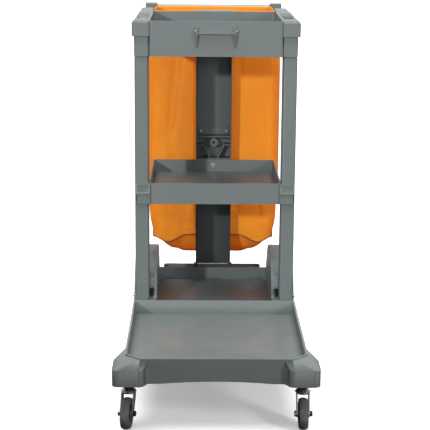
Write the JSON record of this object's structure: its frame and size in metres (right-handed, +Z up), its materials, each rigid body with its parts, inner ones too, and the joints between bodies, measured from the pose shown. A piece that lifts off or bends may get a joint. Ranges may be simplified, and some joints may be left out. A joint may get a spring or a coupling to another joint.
{
  "type": "housekeeping cart",
  "caption": "Housekeeping cart: moulded platform deck on swivel casters and large rear wheels, posts with a middle shelf and a top tray, and an orange waste bag on a rear handle frame.",
  "frame": {"origin": "middle of the footprint, on the ground under the wheels", "axes": "+X to the cart's right as seen from the platform end, +Y from the front platform towards the handle, +Z up"},
  "size_m": [0.508, 1.194, 0.98],
  "materials": {
    "body_plastic": "satin moulded grey polypropylene",
    "wheel_plastic": "satin moulded dark grey plastic",
    "black_plastic": "satin black plastic",
    "rear_rubber": "matt dark rubber",
    "caster_rubber": "matt grey-brown rubber",
    "zinc_steel": "bright zinc plate",
    "handle_tube": "grey powder coat",
    "bag_fabric": "orange-yellow coated fabric"
  },
  "bodies": {
    "frame": {"base_deck": "body_plastic", "bag_platform": "body_plastic", "left_post": "body_plastic", "right_post": "body_plastic", "mid_shelf": "body_plastic", "top_tray": "body_plastic", "hanging_rail": "body_plastic", "lower_column": "body_plastic", "column_joint": "body_plastic", "upper_column": "body_plastic", "left_arm": "body_plastic", "right_arm": "body_plastic", "left_grip": "body_plastic", "right_grip": "body_plastic", "handle_bar": "handle_tube", "bag": "bag_fabric", "shelf_bolt": "zinc_steel", "shelf_washer": "zinc_steel", "post_screws": "zinc_steel", "tray_screws": "zinc_steel", "column_screws": "zinc_steel", "arm_screws": "zinc_steel", "platform_screws": "zinc_steel", "rear_axle": "zinc_steel", "axle_clips": "zinc_steel", "left_rear_cap": "wheel_plastic", "right_rear_cap": "wheel_plastic", "left_caster_socket": "black_plastic", "left_caster_stem": "zinc_steel", "right_caster_socket": "black_plastic", "right_caster_stem": "zinc_steel"},
    "left_rear_wheel": {"left_rear_hub": "wheel_plastic", "left_rear_tyre": "rear_rubber"},
    "right_rear_wheel": {"right_rear_hub": "wheel_plastic", "right_rear_tyre": "rear_rubber"},
    "left_caster": {"left_caster_fork": "zinc_steel", "left_caster_axle": "zinc_steel", "left_caster_nut": "black_plastic"},
    "left_caster_wheel": {"left_caster_hub": "wheel_plastic", "left_caster_tyre": "caster_rubber"},
    "right_caster": {"right_caster_fork": "zinc_steel", "right_caster_axle": "zinc_steel", "right_caster_nut": "black_plastic"},
    "right_caster_wheel": {"right_caster_hub": "wheel_plastic", "right_caster_tyre": "caster_rubber"}
  },
  "joints": [
    {"name": "left_rear_wheel_roll", "type": "hinge", "parent": "frame", "child": "left_rear_wheel", "pos_m": [-0.1935, 0.121, 0.125], "axis": [1, 0, 0], "continuous": true},
    {"name": "right_rear_wheel_roll", "type": "hinge", "parent": "frame", "child": "right_rear_wheel", "pos_m": [0.1935, 0.121, 0.125], "axis": [1, 0, 0], "continuous": true},
    {"name": "left_caster_swivel", "type": "hinge", "parent": "frame", "child": "left_caster", "pos_m": [-0.218, -0.502, 0.09], "axis": [0, 0, 1], "continuous": true},
    {"name": "left_caster_roll", "type": "hinge", "parent": "left_caster", "child": "left_caster_wheel", "pos_m": [-0.22134, -0.52577, 0.04], "axis": [0.9903, -0.1392, 0], "continuous": true},
    {"name": "right_caster_swivel", "type": "hinge", "parent": "frame", "child": "right_caster", "pos_m": [0.218, -0.502, 0.09], "axis": [0, 0, 1], "continuous": true},
    {"name": "right_caster_roll", "type": "hinge", "parent": "right_caster", "child": "right_caster_wheel", "pos_m": [0.218, -0.526, 0.04], "axis": [1, 0, 0], "continuous": true}
  ]
}
